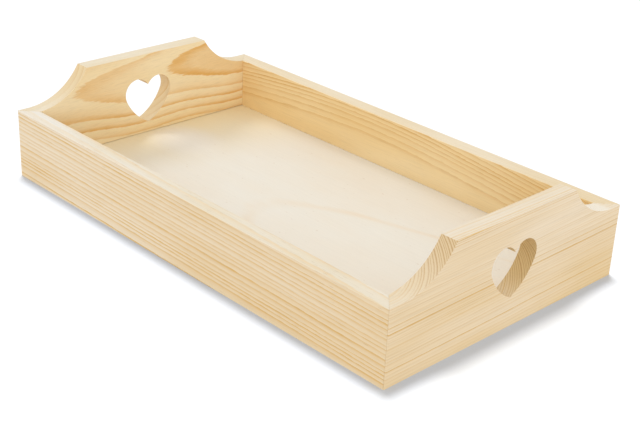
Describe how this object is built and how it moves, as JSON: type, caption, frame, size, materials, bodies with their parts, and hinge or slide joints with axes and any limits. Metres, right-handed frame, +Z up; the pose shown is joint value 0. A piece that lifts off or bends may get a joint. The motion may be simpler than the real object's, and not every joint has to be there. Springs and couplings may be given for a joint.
{
  "type": "wooden serving tray",
  "caption": "Rectangular pine serving tray with mitred corners, raised end boards with heart-shaped hand holes, and a plywood base held in a groove.",
  "frame": {"origin": "on the surface the tray stands on, under the middle of the tray", "axes": "+X along the tray towards its right end board, +Y from the front side board to the back one, +Z up"},
  "size_m": [0.38, 0.22, 0.0775],
  "materials": {
    "side_pine": "bare planed and sanded pine with close straight grain, matt",
    "end_pine": "bare planed and sanded pine, flat-sawn, matt",
    "birch_plywood": "bare sanded plywood with a pale, quiet face veneer, matt",
    "nail_steel": "bright strip steel, driven just below the wood"
  },
  "bodies": {
    "root": {"front_side_board": "side_pine", "back_side_board": "side_pine", "right_end_board": "end_pine", "left_end_board": "end_pine", "base_panel": "birch_plywood", "v_nail_front_left_outer": "nail_steel", "v_nail_front_left_inner": "nail_steel", "v_nail_front_right_outer": "nail_steel", "v_nail_front_right_inner": "nail_steel", "v_nail_back_right_outer": "nail_steel", "v_nail_back_right_inner": "nail_steel", "v_nail_back_left_outer": "nail_steel", "v_nail_back_left_inner": "nail_steel"}
  },
  "joints": []
}
